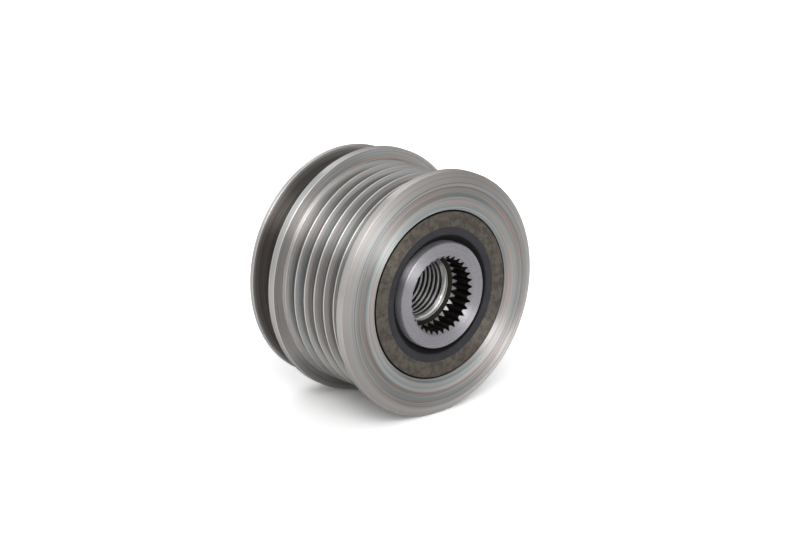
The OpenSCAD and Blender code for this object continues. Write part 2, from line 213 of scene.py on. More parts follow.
class SealSizes(bpy.types.PropertyGroup):
    sheet: length("Steel", "Thickness of the steel of a seal", mm(0.9))
    steel_face_w: length("Steel face", "Radial width of the visible steel", mm(4.0))
    rubber_face_w: length("Rubber face", "Radial width of the visible rubber", mm(2.05))
    edge_fillet: length("Edge", "Rounding of the steel's outer edge", mm(0.35))
    ragged: length("Ragged edge", "How far the rubber runs over the steel's inner edge", mm(0.07))
    lip_gap: length("Lip gap", "Gap between the lip and the inner ring", mm(0.02))


class StageLight(bpy.types.PropertyGroup):
    dome_light: share("Dome", "Even light from all round", 0.52)
    room_light: share("Room", "Brightness of the room where metal shows it", 1.0)
    key_light: brightness("Key", "Brightness of the face of the key softbox", 4.3)
    low_light: brightness("Low", "Brightness of the face of the low softbox in front", 4.0)
    left_light: brightness("Left", "Brightness of the face of the softbox above and to the left", 0.6)
    top_light: brightness("Top", "Brightness of the face of the softbox above and behind", 1.3)
    floor_seen: brightness("Floor seen", "Lift of the floor's colour where the camera sees it", 1.5, 1)
    floor_mirrored: brightness("Floor mirrored", "Lift of the floor's colour where metal shows it", 1.15, 1)


class PulleyColours(bpy.types.PropertyGroup):
    zinc: colour("Zinc", "Zinc plating of the turned ring", (0.39, 0.382, 0.373))
    pink: colour("Pink tint", "Warm tint of the passivated zinc", (0.455, 0.352, 0.322))
    green: colour("Green tint", "Cool tint of the passivated zinc", (0.315, 0.375, 0.384))
    ground: colour("Ground steel", "Ground end face of the inner ring", (0.36, 0.35, 0.374))
    # Near black: partly the dark pressed steel, partly painted shade of the deep tooth spaces
    pressed: colour("Pressed steel", "Pressed teeth of the tool socket", (0.035, 0.03, 0.027))
    cut: colour("Cut steel", "Freshly cut thread", (0.76, 0.75, 0.74))
    oiled: colour("Oiled cone", "Oiled cone between the tool socket and the thread", (0.024, 0.02, 0.015))
    phosphate: colour("Phosphate", "Phosphated steel of the seals", (0.125, 0.112, 0.092))
    phosphate_dark: colour("Dark phosphate", "Darker mottling of that steel", (0.075, 0.064, 0.055))
    rubber: colour("Rubber", "Rubber of the seals", (0.016, 0.016, 0.021))
    hardened: colour("Hardened sheet", "Cup, stop discs and needle cages", (0.36, 0.36, 0.37))
    rolling: colour("Rolling elements", "Lapped needles and clutch rollers", (0.60, 0.60, 0.62))
    polymer: colour("Cage polymer", "Moulded cage of the clutch", (0.035, 0.06, 0.04))
    spring: colour("Spring leaf", "Tempered spring leaves", (0.42, 0.33, 0.22))
    floor: colour("Floor", "Plain floor", (0.95, 0.95, 0.95))


class Signal:
    """A shader socket that takes part in Python expressions."""

    def __init__(self, finish, socket):
        self.finish = finish
        self.socket = socket

    def maths(self, operation, *values):
        return self.finish.node("ShaderNodeMath", {"operation": operation}, *values)

    def __add__(self, other):
        return self.maths("ADD", self, other)

    __radd__ = __add__

    def __sub__(self, other):
        return self.maths("SUBTRACT", self, other)

    def __rsub__(self, other):
        return self.maths("SUBTRACT", other, self)

    def __mul__(self, other):
        return self.maths("MULTIPLY", self, other)

    __rmul__ = __mul__

    def __truediv__(self, other):
        return self.maths("DIVIDE", self, other)

    def __pow__(self, other):
        return self.maths("POWER", self, other)

    def step(self, low, high):
        """0 below low, 1 above high, and a smooth rise between them."""
        return self.finish.node(
            "ShaderNodeMapRange", {"interpolation_type": "SMOOTHSTEP"}, self, low, high, 0.0, 1.0)

    def within(self, start, low, high, end):
        """1 between low and high, and a smooth fall to 0 at start and at end."""
        return self.step(start, low) * self.step(end, high)


class Nodes:
    """An empty node tree, and the methods that fill it."""

    def __init__(self, tree):
        self.tree = tree
        self.tree.nodes.clear()

    def node(self, kind, settings, *values, output=0, **named):
        """Adds a node: settings first, then the values or links of its sockets, by place or by name."""
        made = self.tree.nodes.new(kind)
        for key, value in settings.items():
            setattr(made, key, value)
        for key, value in [*enumerate(values), *named.items()]:
            socket = made.inputs[key if isinstance(key, int) else key.replace("_", " ")]
            if isinstance(value, Signal):
                self.tree.links.new(value.socket, socket)
            else:
                socket.default_value = value
        return None if output is None else Signal(self, made.outputs[output])

    def seen(self, *rays):
        """1 for the given kinds of ray, and 0 for all others."""
        first, *others = [self.node("ShaderNodeLightPath", {}, output=ray) for ray in rays]
        for other in others:
            first = first.maths("MAXIMUM", first, other)
        return first

    def parts(self, vector):
        """The three parts of a vector."""
        split = self.tree.nodes.new("ShaderNodeSeparateXYZ")
        self.tree.links.new(vector.socket, split.inputs[0])
        return [Signal(self, socket) for socket in split.outputs]

    def mix(self, factor, first, second, blend="MIX"):
        """Mixes two colours. Each is three numbers or a signal."""
        made = self.tree.nodes.new("ShaderNodeMix")
        made.data_type = "RGBA"
        made.blend_type = blend
        for place, value in ((0, factor), (6, first), (7, second)):
            if isinstance(value, Signal):
                self.tree.links.new(value.socket, made.inputs[place])
            elif place == 0:
                made.inputs[place].default_value = value
            else:
                made.inputs[place].default_value = (*value, 1.0)
        return Signal(self, made.outputs[2])


class Finish(Nodes):
    """A material in the frame of a turned piece, which is laid down, or of a CAD node, which isn't."""

    def __init__(self, name, laid=True):
        self.material = bpy.data.materials.new(name)
        self.material.use_nodes = True
        super().__init__(self.material.node_tree)
        self.shader = self.tree.nodes.new("ShaderNodeBsdfPrincipled")
        self.output = self.tree.nodes.new("ShaderNodeOutputMaterial")
        self.tree.links.new(self.shader.outputs[0], self.output.inputs[0])
        self.place = self.node("ShaderNodeTexCoord", {}, output="Object")
        towards_front = self.parts(self.node("ShaderNodeTexCoord", {}, output="Normal"))[2]
        # 1 where a turned piece faces along its axis, and 0 where it faces away from it
        self.facing = towards_front.maths("ABSOLUTE", towards_front)
        self.across, second, third = self.parts(self.place)
        self.upward = second if laid else third
        self.along = third if laid else second
        self.radius = (self.across ** 2 + self.upward ** 2) ** 0.5

    def turned_noise(self, scale, sweep, detail=2.0):
        """Noise that runs round the axis: fine across the turning marks, slow along them."""
        vector = self.node("ShaderNodeCombineXYZ", {}, self.radius * scale, self.along * scale,
                           self.across / self.radius * sweep)
        return self.node("ShaderNodeTexNoise", {"noise_dimensions": "4D"}, Vector=vector,
                         W=self.upward / self.radius * sweep, Scale=1.0, Detail=detail)

    def grain(self, scale, detail=3.0, roughness=0.55):
        return self.node("ShaderNodeTexNoise", {}, Vector=self.place, Scale=scale, Detail=detail,
                         Roughness=roughness)

    def bump(self, height, strength, distance):
        """Relief of the surfaces that follow."""
        self.normal = self.node("ShaderNodeBump", {}, Strength=strength, Distance=distance, Height=height)

    def fill(self, shader, values):
        """Sets the shader's sockets, each to a number, a colour or a signal."""
        for key, value in {**values, "Normal": self.normal}.items():
            socket = shader.inputs[key.replace("_", " ")]
            if isinstance(value, Signal):
                self.tree.links.new(value.socket, socket)
            elif isinstance(value, tuple):
                socket.default_value = (*value, 1.0)
            else:
                socket.default_value = value

    def surface(self, **values):
        self.fill(self.shader, values)
        return self.material

    def turned_surface(self, scattered, roughness, **values):
        """A shine whose turning marks scatter a share of the light across themselves, with its own roughness."""
        broad = self.tree.nodes.new("ShaderNodeBsdfPrincipled")
        self.fill(broad, {**values, "Roughness": roughness, "Anisotropic": 1.0})
        for shader in (self.shader, broad):
            shader.inputs["Anisotropic Rotation"].default_value = ACROSS_MARKS
        both = self.node("ShaderNodeMixShader", {}, scattered, Signal(self, self.shader.outputs[0]),
                         Signal(self, broad.outputs[0]))
        self.tree.links.new(both.socket, self.output.inputs[0])
        return self.surface(**values)


def tinted(colour_value, factor):
    return tuple(min(1.0, channel * factor) for channel in colour_value)


def zinc_finish(colours, s, face_z):
    """Turning marks with a faint coloured film: painted highlight at edges, rib crests and upper flanks, satin in front
    of face_z, and painted shade in the wide groove, at the bottoms of the belt grooves and at the seal's mouth."""
    zinc = colours.zinc
    crest_r = s.crest_r
    groove_low = PULLEY_BACK + s.disc_rim_w
    groove_high = groove_low + s.relief_w
    annulus_r = SEAL_R + s.mouth_bevel + s.annulus_w
    finish = Finish("zinc_plated_turned")
    radius, along, facing = finish.radius, finish.along, finish.facing
    marks = finish.turned_noise(scale=2900, sweep=0.6, detail=4.0)
    bands = finish.turned_noise(scale=900, sweep=0.3)
    film = finish.turned_noise(scale=900, sweep=1.0)
    grain = finish.grain(scale=2600)

    base = finish.mix(film.step(0.50, 0.66), tuple(zinc), tuple(colours.pink))
    base = finish.mix(film.step(0.48, 0.33), base, tuple(colours.green))
    marked = finish.mix(bands.step(0.42, 0.58) * 0.65, base, tinted(zinc, 1.35))
    marked = finish.mix(marks.step(0.52, 0.36) * 0.6, marked, tinted(zinc, 0.6))

    # Painted highlight: the edge roundings, the rib crests and the upper part of the flanks are lighter where light
    # catches them
    edge = facing.within(0.2, 0.45, 0.76, 0.84) * radius.step(mm(27.8), mm(28))
    crest = radius.within(crest_r - mm(0.3), crest_r - mm(0.1), crest_r + mm(0.1), crest_r + mm(0.3))
    crest = crest * facing.step(0.8, 0.65)
    flank = radius.step(crest_r - mm(1.3), crest_r - mm(0.5)) * facing.step(0.97, 0.95)
    marked = finish.mix(flank * 0.5, marked, tinted(zinc, 1.4))
    marked = finish.mix(edge.maths("MAXIMUM", edge, crest), marked, tinted(zinc, 1.6))

    # Painted shade: darker in the wide groove and towards the bottoms of the belt grooves
    wide_groove_shade = along.within(groove_low, groove_low + mm(0.3), groove_high - mm(0.25), groove_high - mm(0.05))
    marked = finish.mix(wide_groove_shade, marked, (0.5, 0.47, 0.455), "MULTIPLY")
    ribs = along.within(groove_high + mm(2.5), groove_high + mm(3), face_z - mm(2.8), face_z - mm(2.3))
    groove_bottom_shade = radius.step(crest_r - mm(1.2), crest_r - mm(2.8)) * ribs
    marked = finish.mix(groove_bottom_shade, marked, (0.55, 0.55, 0.57), "MULTIPLY")
    satin = along.step(face_z, face_z + mm(0.3))
    annulus = radius.step(annulus_r + mm(0.05), annulus_r - mm(0.1)) * satin
    marked = finish.mix(annulus, marked, (1.23, 1.23, 1.23), "MULTIPLY")
    # Painted shade: near black where the mouth bevel runs down to the seal
    mouth_shade = radius.step(SEAL_R + mm(0.35), SEAL_R + mm(0.1))
    marked = finish.mix(mouth_shade, marked, tinted(zinc, 0.05))

    finish.bump(marks, strength=0.1, distance=mm(0.02))
    bevel = radius.step(mm(27.5), mm(28))
    return finish.turned_surface(
        0.55 + satin * 0.35, 0.49 + satin * (bevel * 0.13 + 0.13), Base_Color=marked, Metallic=1.0,
        Roughness=0.16 + bands * 0.1 + grain * 0.03, Anisotropic=0.6, Specular_Tint=(0.3, 0.3, 0.3))


def ground_finish(colours):
    finish = Finish("ground_steel_face")
    marks = finish.turned_noise(scale=7000, sweep=1.2, detail=3.0)
    grain = finish.grain(scale=7000, detail=2.0)
    base = finish.mix(grain.step(0.3, 0.75), tinted(colours.ground, 0.86), tinted(colours.ground, 1.1))
    base = finish.mix(marks.step(0.35, 0.65) * 0.4, base, tinted(colours.ground, 0.75))
    finish.bump(grain, strength=0.06, distance=mm(0.02))
    return finish.turned_surface(
        0.8, 0.47, Base_Color=base, Metallic=1.0, Roughness=0.24 + grain * 0.08, Anisotropic=0.6)


def pressed_finish(colours):
    finish = Finish("pressed_steel_teeth")
    grain = finish.grain(scale=3500)
    base = finish.mix(grain.step(0.35, 0.7), tinted(colours.pressed, 0.6), tinted(colours.pressed, 1.3))
    finish.bump(grain, strength=0.2, distance=mm(0.03))
    return finish.surface(Base_Color=base, Metallic=0.9, Roughness=0.34 + grain * 0.12)


def thread_finish(colours, entry_z):
    """Cut steel, with painted shade: darker along the thread behind entry_z and near black at the bottom of its
    grooves. The conical entry in front of entry_z keeps the bright colour.
    """
    finish = Finish("cut_thread")
    grain = finish.grain(scale=5000)
    base = finish.mix(grain.step(0.3, 0.7), tinted(colours.cut, 0.82), tuple(colours.cut))
    # Painted shade: the thread inside the bore darker than its entry, and near black at the bottom of its grooves
    thread_shade = finish.along.step(entry_z + mm(0.2), entry_z - mm(0.2))
    root_shade = finish.radius.step(mm(7.22), mm(7.5)) * thread_shade
    base = finish.mix(thread_shade, base, tinted(colours.cut, 0.62))
    base = finish.mix(root_shade, base, tinted(colours.cut, 0.06))
    finish.bump(grain, strength=0.05, distance=mm(0.02))
    return finish.turned_surface(0.5, 0.5, Base_Color=base, Metallic=1.0, Roughness=0.2 + grain * 0.1)


def cone_finish(colours):
    finish = Finish("oiled_drilled_cone")
    marks = finish.turned_noise(scale=5000, sweep=0.8)
    base = finish.mix(marks.step(0.35, 0.65), tuple(colours.oiled), tinted(colours.oiled, 0.5))
    finish.bump(marks, strength=0.1, distance=mm(0.02))
    return finish.surface(Base_Color=base, Metallic=0.9, Roughness=0.36 + marks * 0.1)


def phosphate_finish(colours):
    finish = Finish("phosphated_steel")
    clouds = finish.grain(scale=700, detail=5.0, roughness=0.62)
    speckle = finish.grain(scale=3200)
    marked = finish.turned_noise(scale=700, sweep=2.2)
    mottled = finish.mix(clouds.step(0.36, 0.62), tuple(colours.phosphate_dark), tuple(colours.phosphate))
    base = finish.mix(speckle.step(0.58, 0.72) * 0.35, mottled, tinted(colours.phosphate, 1.5))
    # Painted shade: near black at the steel's outer edge, in the narrow groove at the mouth of its seat
    edge_shade = finish.radius.step(SEAL_R - mm(0.3), SEAL_R - mm(0.15))
    base = finish.mix(edge_shade, base, tinted(colours.phosphate, 0.05))
    finish.bump(speckle * 0.6 + marked * 0.4, strength=0.25, distance=mm(0.03))
    return finish.turned_surface(
        0.5, 0.5, Base_Color=base, Metallic=0.8, Roughness=0.36 + clouds * 0.2, Specular_IOR_Level=0.4)


def rubber_finish(colours, face_r):
    """Rubber, with painted shade that makes it black in the gap inside face_r."""
    finish = Finish("nitrile_rubber")
    moulding = finish.turned_noise(scale=2600, sweep=0.8)
    bloom = finish.grain(scale=420, detail=4.0)
    base = finish.mix(bloom.step(0.4, 0.7), tinted(colours.rubber, 0.8), tinted(colours.rubber, 1.25))
    # Painted shade: near black in the gap inside face_r, where the rubber is also made rougher
    gap = finish.radius.step(face_r + mm(0.1), face_r - mm(0.1))
    base = finish.mix(gap, base, tinted(colours.rubber, 0.1))
    finish.bump(moulding, strength=0.18, distance=mm(0.03))
    return finish.surface(Base_Color=base, Roughness=0.42 + bloom * 0.14 + gap * 0.4, Specular_IOR_Level=0.3)


def sheet_finish(colours, name, tone):
    finish = Finish(name, laid=False)
    marks = finish.turned_noise(scale=5000, sweep=1.5)
    oil = finish.grain(scale=500, detail=4.0)
    base = finish.mix(oil.step(0.35, 0.7), tinted(colours.hardened, 0.7 * tone), tinted(colours.hardened, tone))
    finish.bump(marks, strength=0.15, distance=mm(0.02))
    return finish.surface(Base_Color=base, Metallic=1.0, Roughness=0.26 + oil * 0.14)


def rolling_finish(colours):
    finish = Finish("lapped_rolling_steel", laid=False)
    marks = finish.grain(scale=7000)
    oil = finish.grain(scale=700, detail=4.0)
    base = finish.mix(oil.step(0.3, 0.7), tinted(colours.rolling, 0.85), tuple(colours.rolling))
    finish.bump(marks, strength=0.06, distance=mm(0.01))
    return finish.surface(Base_Color=base, Metallic=1.0, Roughness=0.14 + oil * 0.1)


def polymer_finish(colours):
    finish = Finish("moulded_cage_polymer", laid=False)
    fibre = finish.grain(scale=1800, detail=5.0)
    base = finish.mix(fibre.step(0.35, 0.7), tuple(colours.polymer), tinted(colours.polymer, 1.7))
    finish.bump(fibre, strength=0.2, distance=mm(0.03))
    return finish.surface(Base_Color=base, Roughness=0.4 + fibre * 0.18)


def spring_finish(colours):
    finish = Finish("tempered_spring_leaf", laid=False)
    temper = finish.grain(scale=900, detail=2.0)
    base = finish.mix(temper.step(0.35, 0.7), tinted(colours.spring, 0.7), tuple(colours.spring))
    finish.bump(temper, strength=0.1, distance=mm(0.01))
    return finish.surface(Base_Color=base, Metallic=1.0, Roughness=0.2 + temper * 0.12)


def rounded(corners, steps=6):
    """A closed outline from (radius, height, fillet) corners, with an arc in place of each filleted corner."""
    count = len(corners)
    spots = [np.array(corner[:2]) for corner in corners]
    points = []
    for i, spot in enumerate(spots):
        fillet = corners[i][2]
        back, ahead = spots[i - 1] - spot, spots[(i + 1) % count] - spot
        # An arc takes up less than half of the shorter side
        room = 0.49 * min(np.linalg.norm(back), np.linalg.norm(ahead))
        back, ahead = back / np.linalg.norm(back), ahead / np.linalg.norm(ahead)
        half = math.acos(max(-1.0, min(1.0, float(back @ ahead)))) / 2
        straight = abs(half - math.pi / 2) < 1e-3
        if not fillet or straight:
            points.append(tuple(spot))
            continue
        tangent = min(room, fillet / math.tan(half))
        radius = tangent * math.tan(half)
        middle = spot + (back + ahead) / np.linalg.norm(back + ahead) * radius / math.sin(half)
        start, end = spot + back * tangent - middle, spot + ahead * tangent - middle
        first = math.atan2(start[1], start[0])
        turn = (math.atan2(end[1], end[0]) - first + math.pi) % (2 * math.pi) - math.pi
        for k in range(steps + 1):
            a = first + turn * k / steps
            points.append((middle[0] + radius * math.cos(a), middle[1] + radius * math.sin(a)))
    return points


def grid_faces(rows, columns, wrap_rows, wrap_columns):
    """Quads of a grid of vertices that is numbered row by row."""
    row = np.arange(rows if wrap_rows else rows - 1)
    column = np.arange(columns if wrap_columns else columns - 1)
    i, j = np.meshgrid(row, column, indexing="ij")
    below, right = (i + 1) % rows, (j + 1) % columns
    quads = [i * columns + j, i * columns + right, below * columns + right, below * columns + j]
    return np.stack(quads, axis=-1).reshape(-1, 4)


def built(name, vertices, faces, materials, smooth_angle=SMOOTH_ANGLE, slots=None):
    """Makes the object, laid down in the frame, with doubled vertices joined and its normals outwards."""
    mesh = bpy.data.meshes.new(name)
    mesh.from_pydata(vertices.tolist(), [], faces.tolist())
    for material in materials:
        mesh.materials.append(material)
    if slots is not None:
        mesh.polygons.foreach_set("material_index", slots)
    work = bmesh.new()
    work.from_mesh(mesh)
    bmesh.ops.remove_doubles(work, verts=work.verts, dist=mm(0.002))
    bmesh.ops.dissolve_degenerate(work, dist=mm(0.001), edges=work.edges)
    bmesh.ops.recalc_face_normals(work, faces=work.faces)
    work.to_mesh(mesh)
    work.free()
    mesh.shade_smooth()
    mesh.set_sharp_from_angle(angle=math.radians(smooth_angle))
    piece = bpy.data.objects.new(name, mesh)
    bpy.context.scene.collection.objects.link(piece)
    piece.matrix_world = LAID
    return piece


def turned(name, outline, materials, segments=TURNED_SEGMENTS, wobble=None):
    """Turns a closed outline of (radius, height) about the axis. wobble(k, angles) shifts point k outwards."""
    angles = np.arange(segments) * 2 * math.pi / segments
    rows = []
    for k, (radius, height) in enumerate(outline):
        radii = np.full(segments, radius) + (wobble(k, angles) if wobble else 0.0)
        rows.append(np.stack([radii * np.cos(angles), radii * np.sin(angles), np.full(segments, height)], -1))
    faces = grid_faces(len(outline), segments, True, True)
    return built(name, np.concatenate(rows), faces, materials)


def belt_ring_outline(s):
    """Half profile of the pulley ring, from its rear bore round the outside and back through the bore."""
    groove_h = (s.rib_pitch - s.crest_w - s.root_w) / 2 / math.tan(s.rib_angle / 2)
    root_r = s.crest_r - groove_h
    relief_back = PULLEY_BACK + s.disc_rim_w
    relief_front = relief_back + s.relief_w
    second_front = relief_front + s.second_rim_w
    first_crest = second_front + s.second_lean + s.land_w
    rim_back = first_crest + s.rib_count * s.rib_pitch + s.front_lean
    rim_front = rim_back + s.front_rim_w
    channel_r = SEAL_R + s.mouth_bevel + s.annulus_w
    ridge_r = channel_r + s.channel_w
    ridge_z = rim_front + s.bevel_len
    floor_z = ridge_z - s.channel_depth
    annulus_z = ridge_z - s.annulus_drop
    burr, foot_fillet, mouth_fillet = mm(0.06), mm(0.12), mm(0.1)
    corners = [
        (SEAL_R, PULLEY_BACK + s.mouth_bevel / 2, 0),
        (SEAL_R + s.mouth_bevel / 2, PULLEY_BACK, burr),
        (s.disc_r, PULLEY_BACK, s.rim_edge),
        (s.disc_r, relief_back, s.rim_edge),
        (s.relief_r, PULLEY_BACK + s.disc_foot_w, s.relief_fillet),
        (s.relief_r, relief_front, s.relief_fillet),
        (RIM_R, relief_front, s.rim_edge),
        (RIM_R, second_front, s.rim_edge),
        (s.crest_r, second_front + s.second_lean, foot_fillet),
    ]
    for i in range(s.rib_count):
        z = first_crest + i * s.rib_pitch
        corners += [
            (s.crest_r, z + s.crest_w / 2, s.crest_fillet),
            (root_r, z + (s.rib_pitch - s.root_w) / 2, s.root_fillet),
            (root_r, z + (s.rib_pitch + s.root_w) / 2, s.root_fillet),
            (s.crest_r, z + s.rib_pitch - s.crest_w / 2, s.crest_fillet),
        ]
    corners += [
        (s.front_rim_r, rim_back, s.rim_edge),
        (s.front_rim_r, rim_front, s.rim_edge),
        (ridge_r, ridge_z, s.ridge_fillet),
        (ridge_r - s.channel_wall_w, floor_z, s.channel_fillet),
        (channel_r + s.channel_wall_w, floor_z, s.channel_fillet),
        (channel_r, annulus_z, s.rim_edge),
        (SEAL_R + s.mouth_bevel, annulus_z, mouth_fillet),
        (SEAL_R, annulus_z - s.mouth_bevel, mouth_fillet),
        (SEAL_R, CUP_FRONT, 0),
        (CUP_R, CUP_FRONT, 0),
        (CUP_R, CUP_BACK, 0),
        (SEAL_R, CUP_BACK, 0),
    ]
    return rounded(corners)


def tooth_columns(s):
    """Angles of the mesh's columns, and the radius of the teeth at each."""
    step = 2 * math.pi / s.tooth_count
    edge = s.tooth_h * math.tan(s.tooth_angle / 2) / s.tip_r
    # From the middle of a tooth space outwards: share of its half width, share of its depth
    spots = [(0.0, 1.0), (0.08, 0.98), (0.3, 0.78), (0.65, 0.42), (0.93, 0.1), (1.06, 0.0)]
    half = [(edge * width, depth) for width, depth in spots]
    half.append(((half[-1][0] + step / 2) / 2, 0.0))
    tooth = half + [(step / 2, 0.0)] + [(step - offset, depth) for offset, depth in reversed(half[1:])]
    columns = [(k * step + offset, depth) for k in range(s.tooth_count) for offset, depth in tooth]
    angles, depths = np.array(columns).T
    return angles, s.tip_r + s.tooth_h * depths


def level_rows(outline, angles, material):
    """Rows of (radii, heights, material), one for each point of an outline."""
    flat = np.ones_like(angles)
    return [(flat * radius, flat * height, material) for radius, height in outline]


def inner_ring_rows(s, angles, teeth, socket_z, entry_z):
    """Rows round the inner ring, from its rear seat to the foot of the drilled cone at entry_z."""
    nose_r = RACE_R - s.nose_step
    race_back, race_front = CUP_BACK + s.side_gap, CUP_FRONT - s.side_gap
    mouth_r, mouth_z = s.tip_r + s.tooth_h + mm(0.08), RING_FRONT - s.sink_depth
    tooth_bevel, runout, clearance = mm(0.7), mm(0.95), mm(0.05)
    rear_fillet, race_fillet, front_fillet = mm(0.08), mm(0.15), mm(0.1)
    # The last two corners, of five points in all, only close the outline
    rows = level_rows(rounded([
        (s.seat_bore_r + s.seat_bevel, 0, SEAT_FILLET),
        (nose_r - s.nose_bevel, 0, rear_fillet),
        (nose_r, s.nose_bevel, rear_fillet),
        (nose_r, race_back, 0),
        (RACE_R, race_back, race_fillet),
        (RACE_R, race_front, race_fillet),
        (nose_r, race_front, 0),
        (nose_r, RING_FRONT - s.nose_bevel, front_fillet),
        (nose_r - s.nose_bevel, RING_FRONT, front_fillet),
        (s.sink_r, RING_FRONT, mm(0.15)),
        (mouth_r, mouth_z, 0),
        (s.tip_r, mouth_z - tooth_bevel, 0),
        (s.seat_bore_r, s.seat_bevel, SEAT_FILLET),
    ], 3)[:-5], angles, GROUND)
    start = mouth_z - (mouth_r - teeth) * tooth_bevel / (mouth_r - s.tip_r)
    end = socket_z + clearance + (teeth - s.tip_r) / (s.tooth_h + mm(0.1)) * runout
    rows.append((teeth, start, GROUND))
    for k in (0.25, 0.5, 0.75, 1.0):
        rows.append((teeth, start + (end - start) * k, PRESSED))
    rows += level_rows([(s.tip_r, socket_z + clearance)], angles, GROUND)
    rows += level_rows([(s.tip_r, socket_z)], angles, PRESSED)
    rows += level_rows([(s.entry_r, entry_z)], angles, OILED)
    return rows


def seat_rows(s, angles):
    """Rows of the centring bore, from its end to the rear seat."""
    return level_rows(rounded([
        (s.seat_bore_r, s.seat_bore_len, 0),
        (s.seat_bore_r, s.seat_bevel, SEAT_FILLET),
        (s.seat_bore_r + s.seat_bevel, 0, SEAT_FILLET),
    ], 3)[:-1], angles, GROUND)


def thread_rows(s, angles, low_z, high_z):
    """Rows that follow the helix of the thread, between the centring bore and the conical entry."""
    # Shares of the pitch: depth, crest, each flank and root
    thread_depth, crest, rise, root = 0.5413, 0.25, 0.3127, 0.1246
    minor_r = s.thread_r - thread_depth * s.thread_pitch
    rear_lead = mm(0.6)
    turns = [0.0, crest / 2, crest, crest + rise / 2, crest + rise, crest + rise + root / 2,
             crest + rise + root, crest + 1.5 * rise + root]
    depth = [0.0, 0.0, 0.0, 0.5, 1.0, 1.0, 1.0, 0.5]
    rows = []
    first = math.floor(low_z / s.thread_pitch) - 1
    last = math.ceil(high_z / s.thread_pitch) + 1
    for turn in range(first, last):
        for place, deep in zip(turns, depth):
            z = s.thread_pitch * (turn + place + angles / (2 * math.pi))
            z = np.clip(z, low_z, high_z)
            radius = np.full_like(angles, minor_r + (s.thread_r - minor_r) * deep)
            front = minor_r + (s.entry_r - minor_r) * (z - high_z + s.entry_len) / s.entry_len
            rear = s.seat_bore_r - (s.seat_bore_r - minor_r) * (z - low_z) / rear_lead
            rows.append((np.maximum(radius, np.maximum(front, rear)), z, CUT))
    return rows


def grid_of(rows, angles):
    return np.concatenate([
        np.stack([radii * np.cos(angles), radii * np.sin(angles), heights], -1) for radii, heights, _ in rows])


def seal_steel_outline(s):
    """Half profile of a seal's steel, from its inner side at 0 to its visible face."""
    depth = SEAL_END - SEAL_START
    steel_in = SEAL_R - s.steel_face_w
    return rounded([
        (SEAL_R - s.sheet, 0, 0),
        (SEAL_R, 0, mm(0.1)),
        (SEAL_R, depth, s.edge_fillet),
        (steel_in, depth, mm(0.06)),
        (steel_in, depth - s.sheet, 0),
        (SEAL_R - s.sheet, depth - s.sheet, 0),
    ])


def seal_rubber_outline(s, nose_r):
    """Half profile of a seal's rubber: from the steel's inner edge down to the lip on the nose, and back behind."""
    depth = SEAL_END - SEAL_START
    steel_in = SEAL_R - s.steel_face_w
    rubber_in = steel_in - s.rubber_face_w
    face_z, back_z, bevel = depth - mm(0.02), mm(0.5), mm(0.25)
    lip_r, lip_front, lip_back = nose_r + s.lip_gap, depth / 2 - mm(0.15), depth / 2 - mm(0.55)
    bonded_r = steel_in + mm(1)
    return rounded([
        (steel_in, depth - s.sheet, 0),
        (steel_in, face_z, 0),
        (rubber_in + bevel, face_z, mm(0.15)),
        (rubber_in, depth - bevel, mm(0.15)),
        (nose_r + mm(0.5), depth / 2, mm(0.2)),
        (lip_r, lip_front, mm(0.05)),
        (lip_r, lip_back, mm(0.05)),
        (rubber_in, depth / 2 - mm(0.9), mm(0.1)),
        (rubber_in + mm(0.6), back_z, mm(0.2)),
        (bonded_r, back_z, 0),
        (bonded_r, depth - s.sheet, 0),
    ])


def paint(nodes, material):
    """Gives CAD nodes a material in place of the one they came with."""
    for name in nodes:
        slots = NODES[name].data.materials
        slots.clear()
        slots.append(material)


def place_piece(piece, node):
    """The piece stands for a CAD node, and rides on the body that has the node."""
    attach(piece, NODES[node]["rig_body"])
    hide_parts(node)


def middle_of(node):
    low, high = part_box(node)
    return (low + high) / 2


def spring_leaf(node, roller, material):
    """A copy of a spring with the leaf material, riding on the spring's body in its place. How far it would shorten
    along the raceway, towards its foot, as its roller gives way is worked out but not applied.
    """
    cad = NODES[node]
    piece = bpy.data.objects.new(f"{node}_leaf", cad.data.copy())
    bpy.context.scene.collection.objects.link(piece)
    piece.matrix_world = cad.matrix_world
    piece.data.materials.clear()
    piece.data.materials.append(material)
    middle, start = middle_of(node), middle_of(roller)
    along = Vector((middle.z, 0, -middle.x)).normalized()
    if along.dot(middle - start) < 0:
        along = -along
    ends = [(cad.matrix_world @ vertex.co).dot(along) for vertex in cad.data.vertices]
    travel = math.hypot(start.x, start.z) * math.radians(RELEASE_ANGLE)
    keep = 1 - RELEASE_ROOM * travel / (max(ends) - min(ends))
    place_piece(piece, node)
    tuple(along * max(ends))
    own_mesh(piece)


class PULLEY_OT_belt_ring(bpy.types.Operator):
    """Turned and zinc-plated ring with belt grooves, flanges, rear disc and front face"""
    bl_idname = "pulley.belt_ring"
    bl_label = "Belt ring"

    def execute(self, context):
        scene = context.scene
        sizes = scene.belt_ring
        outline = belt_ring_outline(sizes)
        face_z = max(height for _, height in outline) - sizes.bevel_len
        finish = zinc_finish(scene.pulley_colours, sizes, face_z)
        piece = turned("pulley_ring_turned", outline, [finish], BELT_RING_SEGMENTS)
        place_piece(piece, "pulley_ring")
        return {"FINISHED"}


